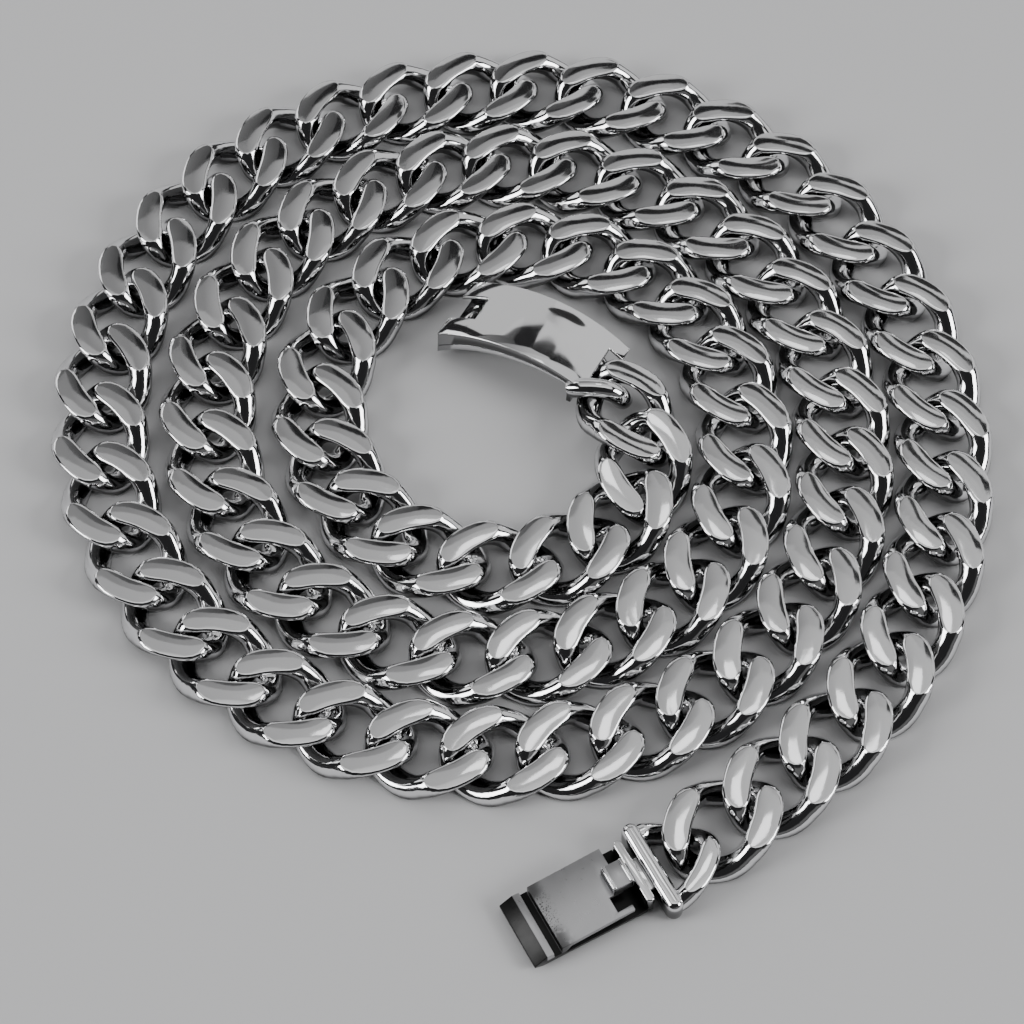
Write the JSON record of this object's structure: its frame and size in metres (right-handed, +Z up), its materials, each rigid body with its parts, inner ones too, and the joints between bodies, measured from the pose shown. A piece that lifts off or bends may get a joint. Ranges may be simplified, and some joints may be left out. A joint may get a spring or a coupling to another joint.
{
  "type": "curb chain necklace",
  "caption": "Heavy curb chain of twisted, flat-ground links with a box clasp on its ends, unfastened and laid open in a flat spiral.",
  "frame": {"origin": "middle of the outline seen from above, on the surface that the chain lies on", "axes": "+Z up from the surface, +Y away from the viewer of the picture, +X to the viewer's right"},
  "size_m": [0.1122, 0.124, 0.0079],
  "materials": {
    "link_metal": "mirror polished, with flat-ground faces",
    "clasp_metal": "mirror polished",
    "tongue_metal": "satin, worn and pitted at the folded end"
  },
  "bodies": {
    "root": {"chain_outer": "link_metal", "chain_inner": "link_metal", "clasp_box": "clasp_metal", "clasp_tongue": "tongue_metal"}
  },
  "joints": []
}
